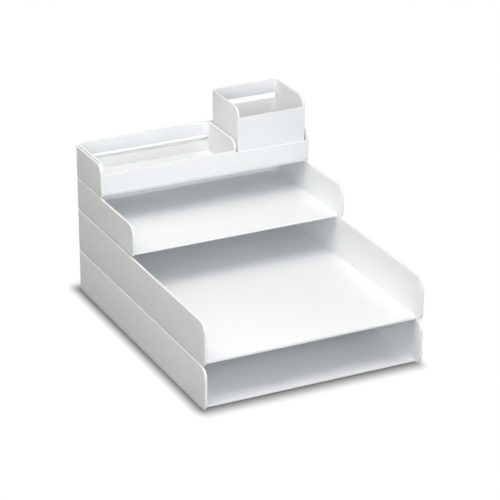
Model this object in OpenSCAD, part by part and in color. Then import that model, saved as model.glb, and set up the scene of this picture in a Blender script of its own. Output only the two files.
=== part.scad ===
// Desk stack of four moulded letter trays, stepped in depth, whose shallow top tray holds a lift-out
// pen tray and a lift-out pen cup. Millimetres, +Z up, front towards -Y. The origin is on the desk,
// under the middle of the stack.

/* [Stack] */
// Outside width of every tray
tray_w = 265; // [225:1:320]
// Depth of the two letter trays, front to back
letter_d = 360; // [300:1:430]
// Height of a letter tray, from its underside to its rim
letter_h = 52; // [40:0.5:70]
// Depth of the half tray above them
half_d = 172; // [130:1:220]
// Height of the half tray
half_h = 39.5; // [34:0.5:60]
// Depth of the top tray
top_d = 82.5; // [72:0.5:110]
// Height of the top tray's side and back walls
top_h = 40; // [34:0.5:50]

/* [Walls and corners] */
// Thickness of the tray walls
wall = 2.5; // [2:0.1:3.5]
// Thickness of the tray floors
floor_t = 2.5; // [2:0.1:3.5]
// Radius of the upright corners at the back
corner_r = 12; // [9:0.5:18]
// Radius of the rounded front ends of the side walls
nose_r = 12; // [8:0.5:16]
// How far an open tray's floor stays behind the front ends of its side walls
floor_setback = 12; // [6:0.5:20]
// Radius of the bottom edges along the sides and the back
edge_r = 4; // [3.6:0.1:6]
// Radius of the top tray's bottom edge at the front
front_edge_r = 7.5; // [5:0.5:9]
// Radius of the upright corners at the front of the walled pieces
front_corner_r = 1.5; // [0.5:0.1:2.5]
// How much lower a front wall is than the side walls beside it
front_drop = 12; // [10:0.5:16]

/* [Stacking rail] */
// Distance from the outside face in to the flat seat that stands on the rim below
seat_inset = 1.2; // [0.8:0.1:1.6]
// How far the rail reaches down inside the tray below
rail_depth = 1.5; // [1:0.1:2.5]
// Width of the part that reaches down
rail_w = 2; // [1.5:0.1:3]
// Clearance between the rail and the walls below
rail_gap = 0.4; // [0.3:0.05:0.6]

/* [Back slots] */
// Height of the slots in the back walls of the trays
slot_h = 4.5; // [4:0.5:8]
// Height of the slots in the backs of the pen tray and the cup
insert_slot_h = 7.5; // [5:0.5:10]
// Distance from a piece's rim down to its slot
slot_drop = 16; // [12:0.5:18]

/* [Pen tray and cup] */
// Thickness of their walls and floors
insert_wall = 2.5; // [1.8:0.1:3]
// Clearance between them and the top tray's walls
insert_gap = 0.4; // [0.3:0.1:1.5]
// Height of the pen tray's end and back walls
pen_h = 39; // [30:0.5:50]
// Width of the cup
cup_w = 87.5; // [60:0.5:110]
// Height of the cup's side and back walls
cup_h = 78.5; // [60:0.5:110]
// Gap between the pen tray and the cup
cup_pen_gap = 1.7; // [1:0.1:4]
// Gap between the cup and the top tray's side wall
cup_side_gap = 1.1; // [0.6:0.1:3]
// Gap behind the cup
cup_back_gap = 2.2; // [1:0.1:4]
// How much tighter the cup's back corners are than the inside of the top tray's corners
cup_corner_ease = 1.5; // [1:0.1:2.5]
// Radius of the bottom edges along their sides and backs
insert_edge_r = 3; // [2.6:0.1:4]

/* [Feet] */
// Diameter of the rubber feet
foot_d = 14; // [8:0.5:20]
// Distance from the bottom tray's underside down to the desk
foot_proud = 2; // [1.8:0.1:4]
// Depth of the recess that holds each foot
foot_recess = 0.6; // [0.3:0.1:1]
// Distance from the tray's side, front and back to the middle of a foot
foot_inset = 32; // [20:1:60]

/* [Hidden] */

$fn = 96;
cut = 1;                 // how far a cutting shape runs past the surface that it cuts
lead = 2 * corner_r;     // length of moulding in front of a tray that its front profile trims off
plastic = [0.95, 0.955, 0.96];
rubber = [0.30, 0.30, 0.31];

// Heights of the undersides, from the desk up
bottom_z = foot_proud;
second_z = bottom_z + letter_h;
half_z = second_z + letter_h;
top_z = half_z + half_h;
insert_z = top_z + floor_t;

// The back walls of the stack share one plane
left_x = -tray_w / 2;
back_y = letter_d / 2;

// Inside of the top tray, shared out between the pen tray and the cup
well_w = tray_w - 2 * wall;
well_d = top_d - 2 * wall;
pen_w = well_w - insert_gap - cup_pen_gap - cup_w - cup_side_gap;
pen_d = well_d - 2 * insert_gap;
pen_corner_r = corner_r - wall - insert_gap;
cup_d = well_d - insert_gap - cup_back_gap;
cup_corner_r = corner_r - wall - cup_corner_ease;
insert_front_y = back_y - top_d + wall + insert_gap;
pen_x = left_x + wall + insert_gap;
cup_x = left_x + tray_w - wall - cup_side_gap - cup_w;
insert_front_edge_r = front_edge_r - wall;

// Radius on the inside of a wall that is round on the outside
function inside_r(outside_r, thickness) = max(outside_r - thickness, 0);

// Height of the rounded bottom edge above its lowest line, at a distance in from the outside face
function edge_rise(inset) = edge_r - sqrt(pow(edge_r, 2) - pow(edge_r - inset, 2));

// Rectangle with its corner at the origin. r holds the corner radii, from the origin anticlockwise.
module outline(size, r) {
    corner = [[0, 0], [size.x, 0], [size.x, size.y], [0, size.y]];
    inward = [[1, 1], [-1, 1], [-1, -1], [1, -1]];
    polygon([
        [r[0], 0], [size.x - r[1], 0], [size.x, r[1]], [size.x, size.y - r[2]],
        [size.x - r[2], size.y], [r[3], size.y], [0, size.y - r[3]], [0, r[0]],
    ]);
    for (i = [0:3])
        if (r[i] > 0)
            translate([corner[i].x + inward[i].x * r[i], corner[i].y + inward[i].y * r[i]])
                circle(r = r[i]);
}

// Block with upright corners of radius r and a bottom edge of radius edge that runs round them
module pan(size, r, edge) {
    centre = [[r, r], [size.x - r, r], [size.x - r, size.y - r], [r, size.y - r]];
    rim = [r, r, r, r];
    translate([0, 0, edge])
        linear_extrude(size.z - edge)
            outline(size, rim);
    if (edge > 0) {
        translate([edge, edge, 0])
            linear_extrude(edge)
                outline([size.x - 2 * edge, size.y - 2 * edge], [for (v = rim) v - edge]);
        for (i = [0:3])
            translate([centre[i].x, centre[i].y, edge])
                rotate([0, 0, 180 + 90 * i])
                    rotate_extrude(angle = 90)
                        translate([r - edge, 0])
                            intersection() {
                                circle(r = edge);
                                translate([0, -edge]) square(edge);
                            }
        for (y = [edge, size.y - edge])
            translate([r, y, edge])
                rotate([0, 90, 0])
                    cylinder(r = edge, h = size.x - 2 * r);
        for (x = [edge, size.x - edge])
            translate([x, size.y - r, edge])
                rotate([90, 0, 0])
                    cylinder(r = edge, h = size.y - 2 * r);
    }
}

// Side profile of a piece, as wide as the piece: radius low at its bottom front and high at its top
// front
module side_profile(size, low, high) {
    rotate([90, 0, 90])
        linear_extrude(size.x)
            outline([size.y, size.z], [low, 0, 0, high]);
}

// Moulded form with a flat front: a pan whose front end is trimmed by the side profile and by the
// upright front corners
module moulded(size, back_r, edge, low, high, front_r) {
    intersection() {
        translate([0, -lead, 0]) pan([size.x, size.y + lead, size.z], back_r, edge);
        side_profile(size, low, high);
        linear_extrude(size.z) outline(size, [front_r, front_r, 0, 0]);
    }
}

// Long slot through a back wall, as wide as the inside of the piece, with round ends
module back_slot(size, thickness, height) {
    translate([thickness, size.y + cut, size.z - slot_drop - height])
        rotate([90, 0, 0])
            linear_extrude(corner_r + cut)
                outline([size.x - 2 * thickness, height], height / 2 * [1, 1, 1, 1]);
}

// Band along both sides and the back, from inset_a to inset_b inside the outside face
module rail_band(size, front, inset_a, inset_b) {
    difference() {
        translate([inset_a, front])
            outline([size.x - 2 * inset_a, size.y - front - inset_a],
                    [0, 0, corner_r - inset_a, corner_r - inset_a]);
        translate([inset_b, front - cut])
            outline([size.x - 2 * inset_b, size.y - front - inset_b + cut],
                    [0, 0, corner_r - inset_b, corner_r - inset_b]);
    }
}

// Stacking rail: a flat seat under the rounded edge, and a rib that reaches down inside the walls of
// the tray below
module stacking_rail(size, front) {
    rib_inset = wall + rail_gap;
    root = (edge_rise(seat_inset) + floor_t) / 2;
    linear_extrude(root) rail_band(size, front, seat_inset, rib_inset + rail_w);
    translate([0, 0, -rail_depth])
        linear_extrude(rail_depth + root)
            rail_band(size, front, rib_inset, rib_inset + rail_w);
}

// Tray with an open front
module open_tray(size) {
    inside = [size.x - 2 * wall, size.y + lead - wall, size.z];
    difference() {
        union() {
            moulded(size, corner_r, edge_r, nose_r, nose_r, 0);
            stacking_rail(size, max(nose_r, floor_setback) + rail_w);
        }
        translate([wall, -lead, floor_t]) pan(inside, inside_r(corner_r, wall), inside_r(edge_r, wall));
        translate([wall, -cut, -cut])
            cube([size.x - 2 * wall, floor_setback + cut, floor_t + 2 * cut]);
        back_slot(size, wall, slot_h);
    }
}

// Letter tray, with a shallow recess at each corner of its underside for a foot
module letter_tray() {
    size = [tray_w, letter_d, letter_h];
    difference() {
        open_tray(size);
        for (x = [foot_inset, size.x - foot_inset])
            for (y = [foot_inset, size.y - foot_inset])
                translate([x, y, -cut]) cylinder(d = foot_d, h = foot_recess + cut);
    }
}

// Walls and floor of a piece with a low front wall: its hollow, the lowered front and the back slot
module walled_hollow(size, thickness, base, back_r, edge, low, slot) {
    inside = [size.x - 2 * thickness, size.y - 2 * thickness, size.z];
    translate([thickness, thickness, base])
        moulded(inside, inside_r(back_r, thickness), inside_r(edge, thickness),
                inside_r(low, thickness), 0, 0);
    translate([thickness, -cut, size.z - front_drop])
        cube([inside.x, thickness + 2 * cut, front_drop + cut]);
    back_slot(size, thickness, slot);
}

// Lift-out piece for the top tray
module insert(size, back_r) {
    difference() {
        moulded(size, back_r, insert_edge_r, insert_front_edge_r, nose_r, front_corner_r);
        walled_hollow(size, insert_wall, insert_wall, back_r, insert_edge_r, insert_front_edge_r,
                      insert_slot_h);
    }
}

// Rubber foot, from the desk up into its recess
module foot(right, rear) {
    x = right ? tray_w - foot_inset : foot_inset;
    y = rear ? letter_d - foot_inset : foot_inset;
    color(rubber)
        translate([left_x + x, back_y - letter_d + y, 0])
            cylinder(d = foot_d, h = foot_proud + foot_recess);
}

module bottom_letter_tray() {
    color(plastic) translate([left_x, back_y - letter_d, bottom_z]) letter_tray();
}

module second_letter_tray() {
    color(plastic) translate([left_x, back_y - letter_d, second_z]) letter_tray();
}

module half_tray() {
    color(plastic) translate([left_x, back_y - half_d, half_z]) open_tray([tray_w, half_d, half_h]);
}

module top_tray() {
    size = [tray_w, top_d, top_h];
    color(plastic)
        translate([left_x, back_y - top_d, top_z])
            difference() {
                union() {
                    moulded(size, corner_r, edge_r, front_edge_r, nose_r, front_corner_r);
                    stacking_rail(size, front_edge_r + rail_w);
                }
                walled_hollow(size, wall, floor_t, corner_r, edge_r, front_edge_r, slot_h);
            }
}

module pen_tray() {
    color(plastic) translate([pen_x, insert_front_y, insert_z]) insert([pen_w, pen_d, pen_h], pen_corner_r);
}

module pen_cup() {
    color(plastic) translate([cup_x, insert_front_y, insert_z]) insert([cup_w, cup_d, cup_h], cup_corner_r);
}

module foot_front_left() { foot(right = false, rear = false); }
module foot_front_right() { foot(right = true, rear = false); }
module foot_rear_left() { foot(right = false, rear = true); }
module foot_rear_right() { foot(right = true, rear = true); }

bottom_letter_tray();
second_letter_tray();
half_tray();
top_tray();
pen_tray();
pen_cup();
foot_front_left();
foot_front_right();
foot_rear_left();
foot_rear_right();
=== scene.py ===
import math

import bpy
from mathutils import Euler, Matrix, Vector

MM = 0.001

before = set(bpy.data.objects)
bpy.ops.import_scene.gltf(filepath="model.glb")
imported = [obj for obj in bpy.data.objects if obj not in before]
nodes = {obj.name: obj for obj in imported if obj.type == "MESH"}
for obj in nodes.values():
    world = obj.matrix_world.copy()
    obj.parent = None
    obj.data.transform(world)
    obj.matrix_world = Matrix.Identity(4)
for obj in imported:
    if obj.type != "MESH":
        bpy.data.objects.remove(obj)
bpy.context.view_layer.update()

FEET = [name for name in nodes if name.startswith("foot_")]
MOULDINGS = [name for name in nodes if name not in FEET]

# Camera, as fitted to the straight edges of the stack in the photograph
VIEW_AZIMUTH = 25.96            # degrees, turned from the front towards the left side
VIEW_ELEVATION = 23.68          # degrees above the horizontal
VIEW_DISTANCE = 2684.6 * MM
VIEW_AIM = Vector((1.5, -13.5, 101.2)) * MM
LENS = 171.1                    # mm
SENSOR = 36                     # mm, its width
CLOSEST = 50 * MM               # nothing nearer to the camera is drawn

# Edges. The CAD faces are joined along their shared edges, and flat ones made into one, because
# the bevel does nothing to unjoined faces. Its clamp then scales each mesh's rounding down to its
# tightest place: the feet get all of EDGE_ROUND, and the mouldings' rims only 0.008 to 0.021 mm.
WELD_REACH = 0.002 * MM
FLAT_ANGLE = math.radians(0.5)
EDGE_ANGLE = math.radians(40)   # an edge that turns more than this is rounded
EDGE_ROUND = 0.5 * MM
EDGE_STEPS = 3

# Finish. Noise scales are per metre. A tone is the second colour, as a multiple of the first
WHITE = (0.815, 0.832, 0.842, 1)
WHITE_FINISH = {"tone": 0.97, "tone_scale": 14.0,
                "grain_scale": 1800.0, "grain_detail": 3.0, "strength": 0.12, "depth": 0.05 * MM}
SATIN = (0.38, 0.50)            # roughness, from and to
SATIN_SCALE = 90.0
PLASTIC_IOR = 1.49
PLASTIC_SPECULAR = 0.35
GLOW = 0.5                      # share of the light that spreads inside the white plastic
GLOW_RADIUS = (1.0, 0.93, 0.80)
GLOW_DEPTH = 1 * MM
FOOT_GREY = (0.035, 0.035, 0.037, 1)
FOOT_FINISH = {"tone": 1.6, "tone_scale": 300.0,
               "grain_scale": 900.0, "grain_detail": 2.0, "strength": 0.3, "depth": 0.1 * MM}
FOOT_ROUGHNESS = 0.85

# Round softboxes about the stack: azimuth from the front towards the left side, elevation,
# distance in metres, watts at one metre, tint
COOL = (0.965, 0.985, 1.0)
MILD = (1.0, 0.985, 0.97)
WARM = (1.0, 0.935, 0.86)
DOME = [
    (-50, 15, 2.6, 0.90, COOL),
    (15, 15, 1.3, 5.1, COOL),
    (-60, 40, 2.6, 1.27, COOL),
    (20, 40, 2.6, 0.80, COOL),
    (100, 40, 2.6, 1.85, WARM),
    (-120, 65, 2.6, 0.6, COOL),
    (45, 65, 1.4, 5.2, MILD),
    (90, 65, 2.6, 1.36, WARM),
    (-100, 15, 2.6, 1.2, COOL),
    (180, 15, 2.6, 2.6, COOL),
]
SOFTBOX_SIZE = 0.58             # diameter over distance
SOFTBOX_AIM = Vector((0, 0, 0.1))

# Floor, with a shadow painted at the stack's foot
FLOOR_SIZE = 12
FLOOR_GREY = 0.3                # for the light that the floor gives back
FLOOR_ROUGHNESS = 0.9
FLOOR_SPECULAR = 0.1
PAINTED_SHADOW_GREY = 0.13              # as the camera, mirrors and glass see the floor; it shows only in the painted shadow at the stack's foot
PAINTED_SHADOW_LIFT = 0.13              # share of white mixed in where the painted shadow is darkest, over the floor's real shading
PAINTED_SHADOW_REACH = (17 * MM, 28 * MM)   # how far the painted shadow reaches beside the stack, and in front of it
# Where the camera sees the stack's rounded lower edges meet the floor, the outline that the shadow
# is
# painted from: middle and half width, along X and Y
PAINTED_SHADOW_FOOTPRINT = ((0, 129 * MM), (6 * MM, 170 * MM))


def node(tree, kind, **inputs):
    made = tree.nodes.new(kind)
    for name, value in inputs.items():
        made.inputs[name.replace("_", " ")].default_value = value
    return made


def object_position(tree):
    return tree.nodes.new("ShaderNodeTexCoord").outputs["Object"]


def noise(tree, place, scale, detail=2.0):
    made = node(tree, "ShaderNodeTexNoise", Scale=scale, Detail=detail)
    tree.links.new(place, made.inputs["Vector"])
    return made.outputs["Fac"]


def ranged(tree, value, low, high, smooth=False):
    made = node(tree, "ShaderNodeMapRange", To_Min=low, To_Max=high)
    made.interpolation_type = "SMOOTHSTEP" if smooth else "LINEAR"
    tree.links.new(value, made.inputs["Value"])
    return made.outputs["Result"]


def calculated(tree, operation, *values):
    made = tree.nodes.new("ShaderNodeMath")
    made.operation = operation
    for socket, value in zip(made.inputs, values):
        if isinstance(value, bpy.types.NodeSocket):
            tree.links.new(value, socket)
        else:
            socket.default_value = value
    return made.outputs["Value"]


def new_material(name):
    material = bpy.data.materials.new(name)
    material.use_nodes = True
    tree = material.node_tree
    return material, tree, tree.nodes["Principled BSDF"]


def moulded(name, colour, tone, tone_scale, grain_scale, grain_detail, strength, depth):
    """A material with a slow change of tone and a fine grain, and the place that they follow."""
    material, tree, shader = new_material(name)
    place = object_position(tree)
    mixed = node(tree, "ShaderNodeMixRGB")
    mixed.inputs["Color1"].default_value = colour
    mixed.inputs["Color2"].default_value = [tone * part for part in colour[:3]] + [1]
    tree.links.new(noise(tree, place, tone_scale), mixed.inputs["Fac"])
    tree.links.new(mixed.outputs["Color"], shader.inputs["Base Color"])
    grain = node(tree, "ShaderNodeBump", Strength=strength, Distance=depth)
    tree.links.new(noise(tree, place, grain_scale, grain_detail), grain.inputs["Height"])
    tree.links.new(grain.outputs["Normal"], shader.inputs["Normal"])
    return material, tree, shader, place


def white_plastic():
    """Moulded white plastic: satin, with the faint grain of a spark-eroded mould."""
    material, tree, shader, place = moulded("white_plastic", WHITE, **WHITE_FINISH)
    satin = ranged(tree, noise(tree, place, SATIN_SCALE), *SATIN)
    tree.links.new(satin, shader.inputs["Roughness"])
    shader.inputs["IOR"].default_value = PLASTIC_IOR
    shader.inputs["Specular IOR Level"].default_value = PLASTIC_SPECULAR
    shader.inputs["Subsurface Weight"].default_value = GLOW
    shader.inputs["Subsurface Radius"].default_value = GLOW_RADIUS
    shader.inputs["Subsurface Scale"].default_value = GLOW_DEPTH
    return material


def foot_rubber():
    material, _, shader, _ = moulded("foot_rubber", FOOT_GREY, **FOOT_FINISH)
    shader.inputs["Roughness"].default_value = FOOT_ROUGHNESS
    return material


def dress(name, material):
    piece = nodes[name]
    piece.data.materials.clear()
    piece.data.materials.append(material)
    for polygon in piece.data.polygons:
        polygon.use_smooth = True
    weld = piece.modifiers.new("weld", "WELD")
    weld.merge_threshold = WELD_REACH
    flat = piece.modifiers.new("flat_faces", "DECIMATE")
    flat.decimate_type = "DISSOLVE"
    flat.angle_limit = FLAT_ANGLE
    bevel = piece.modifiers.new("edge_round", "BEVEL")
    bevel.width = EDGE_ROUND
    bevel.segments = EDGE_STEPS
    bevel.limit_method = "ANGLE"
    bevel.angle_limit = EDGE_ANGLE
    bevel.use_clamp_overlap = True
    bevel.harden_normals = True


# Stage: a white floor and a white world. Only what the camera, mirrors and glass see of them is
# lifted to plain white. The world gives the stack no light of its own, and the floor gives back
# what a grey one does. Near the stack's foot a shadow is painted on the floor: the white fades out
# by distance from the footprint, and the floor's dark grey shows there with its real shading.
def backdrop_rays(tree):
    path = tree.nodes.new("ShaderNodeLightPath").outputs
    shiny = calculated(tree, "MAXIMUM", path["Is Glossy Ray"], path["Is Transmission Ray"])
    return calculated(tree, "MAXIMUM", path["Is Camera Ray"], shiny)


def painted_shadow_distance(tree):
    """How far a place on the floor is from the footprint, 1 where the painted contact shadow ends.
    """
    split = tree.nodes.new("ShaderNodeSeparateXYZ")
    tree.links.new(object_position(tree), split.inputs["Vector"])
    outside = []
    for axis, (middle, half), reach in zip("XY", PAINTED_SHADOW_FOOTPRINT, PAINTED_SHADOW_REACH):
        offset = calculated(tree, "SUBTRACT", split.outputs[axis], middle)
        beyond = calculated(tree, "SUBTRACT", calculated(tree, "ABSOLUTE", offset), half)
        outside.append(calculated(tree, "DIVIDE", calculated(tree, "MAXIMUM", beyond, 0.0), reach))
    squares = [calculated(tree, "MULTIPLY", far, far) for far in outside]
    return calculated(tree, "SQRT", calculated(tree, "ADD", *squares))


def floor():
    half = FLOOR_SIZE / 2
    mesh = bpy.data.meshes.new("floor")
    rim = [(-half, -half, 0), (half, -half, 0), (half, half, 0), (-half, half, 0)]
    mesh.from_pydata(rim, [], [(0, 1, 2, 3)])
    sheet = bpy.data.objects.new("floor", mesh)
    bpy.context.scene.collection.objects.link(sheet)
    material, tree, shader = new_material("floor_white_painted_shadow")
    seen = backdrop_rays(tree)
    # The camera, mirrors and glass see a darker grey than the lamps' light does; it shows only in
    # the painted shadow at the stack's foot.
    tree.links.new(ranged(tree, seen, FLOOR_GREY, PAINTED_SHADOW_GREY), shader.inputs["Base Color"])
    shader.inputs["Roughness"].default_value = FLOOR_ROUGHNESS
    shader.inputs["Specular IOR Level"].default_value = FLOOR_SPECULAR
    white = node(tree, "ShaderNodeEmission", Strength=1.0)
    mix = tree.nodes.new("ShaderNodeMixShader")
    # Painted shadow: the white fades from all of it far off to a small share at the footprint, so
    # the grey floor and its real shading show through there.
    painted_shadow_white = ranged(tree, painted_shadow_distance(tree), PAINTED_SHADOW_LIFT, 1.0, smooth=True)
    tree.links.new(calculated(tree, "MULTIPLY", seen, painted_shadow_white), mix.inputs["Fac"])
    tree.links.new(shader.outputs["BSDF"], mix.inputs[1])
    tree.links.new(white.outputs["Emission"], mix.inputs[2])
    tree.links.new(mix.outputs["Shader"], tree.nodes["Material Output"].inputs["Surface"])
    mesh.materials.append(material)


def white_world():
    world = bpy.data.worlds.new("studio")
    bpy.context.scene.world = world
    world.use_nodes = True
    tree = world.node_tree
    tree.nodes.clear()
    background = node(tree, "ShaderNodeBackground", Color=(1, 1, 1, 1))
    out = tree.nodes.new("ShaderNodeOutputWorld")
    tree.links.new(backdrop_rays(tree), background.inputs["Strength"])
    tree.links.new(background.outputs["Background"], out.inputs["Surface"])


def direction(azimuth, elevation):
    azimuth, elevation = math.radians(azimuth), math.radians(elevation)
    level = math.cos(elevation)
    return Vector((-math.sin(azimuth) * level, -math.cos(azimuth) * level, math.sin(elevation)))


def softbox(azimuth, elevation, distance, strength, tint):
    name = "softbox_%g_%g" % (azimuth, elevation)
    lamp = bpy.data.lights.new(name, "AREA")
    lamp.shape = "DISK"
    lamp.size = SOFTBOX_SIZE * distance
    lamp.energy = strength * distance ** 2
    lamp.color = tint
    made = bpy.data.objects.new(name, lamp)
    away = direction(azimuth, elevation)
    made.location = SOFTBOX_AIM + distance * away
    made.rotation_euler = (-away).to_track_quat("-Z", "Y").to_euler()
    made.visible_camera = False
    bpy.context.scene.collection.objects.link(made)


def camera():
    lens = bpy.data.cameras.new("camera")
    lens.sensor_fit = "HORIZONTAL"
    lens.sensor_width = SENSOR
    lens.lens = LENS
    lens.clip_start = CLOSEST
    made = bpy.data.objects.new("camera", lens)
    made.location = VIEW_AIM + VIEW_DISTANCE * direction(VIEW_AZIMUTH, VIEW_ELEVATION)
    tilt = math.radians(90 - VIEW_ELEVATION)
    made.rotation_euler = Euler((tilt, 0, math.radians(-VIEW_AZIMUTH)))
    bpy.context.scene.collection.objects.link(made)
    bpy.context.scene.camera = made


plastic = white_plastic()
rubber = foot_rubber()
for name in MOULDINGS:
    dress(name, plastic)
for name in FEET:
    dress(name, rubber)
floor()
white_world()
for lamp in DOME:
    softbox(*lamp)
camera()
bpy.context.scene.view_settings.view_transform = "Standard"
